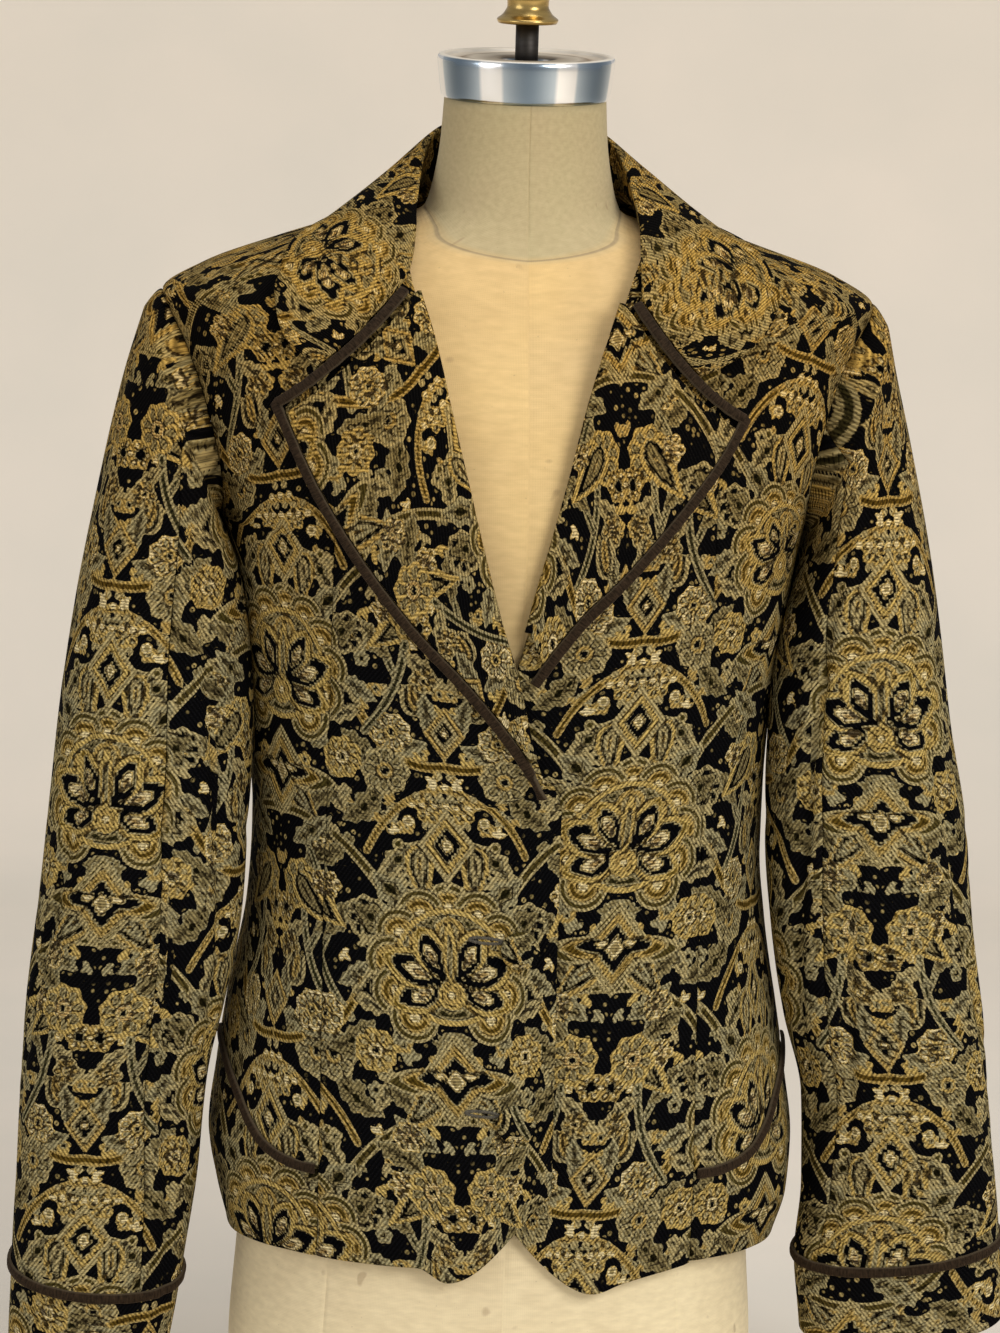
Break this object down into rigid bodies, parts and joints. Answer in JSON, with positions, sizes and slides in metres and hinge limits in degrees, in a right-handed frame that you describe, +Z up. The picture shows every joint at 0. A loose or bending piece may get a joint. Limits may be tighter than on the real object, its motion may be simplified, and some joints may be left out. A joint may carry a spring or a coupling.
{
  "type": "tapestry blazer on a limbless dress form",
  "caption": "Short fitted blazer of floral tapestry cloth with velvet edges and turned-back lapels, worn by a limbless linen dress form with a metal neck cap and a brass finial.",
  "frame": {"origin": "centre of the dress form's flat underside", "axes": "+Z up, -Y the front of the garment, +X the wearer's left"},
  "size_m": [0.5745, 0.2712, 0.8785],
  "materials": {
    "tapestry": "woven tapestry, matt",
    "velvet": "dark brown velvet",
    "linen": "plain linen, slightly stained",
    "steel": "satin",
    "brass": "polished, slightly dull",
    "iron": "dark, satin"
  },
  "bodies": {
    "root": {"form_torso": "linen", "form_cap": "steel", "form_rod": "iron", "form_finial": "brass", "collar": "tapestry", "centre_front_right": "tapestry", "side_front_right": "tapestry", "hip_front_right": "tapestry", "back_right": "tapestry", "top_sleeve_right": "tapestry", "under_sleeve_right": "tapestry", "cuff_right": "tapestry", "lapel_right": "tapestry", "edge_piping_right": "velvet", "pocket_piping_right": "velvet", "cuff_piping_right": "velvet", "centre_front_left": "tapestry", "side_front_left": "tapestry", "hip_front_left": "tapestry", "back_left": "tapestry", "top_sleeve_left": "tapestry", "under_sleeve_left": "tapestry", "cuff_left": "tapestry", "lapel_left": "tapestry", "edge_piping_left": "velvet", "pocket_piping_left": "velvet", "cuff_piping_left": "velvet", "button_upper": "tapestry", "button_lower": "tapestry"}
  },
  "joints": []
}
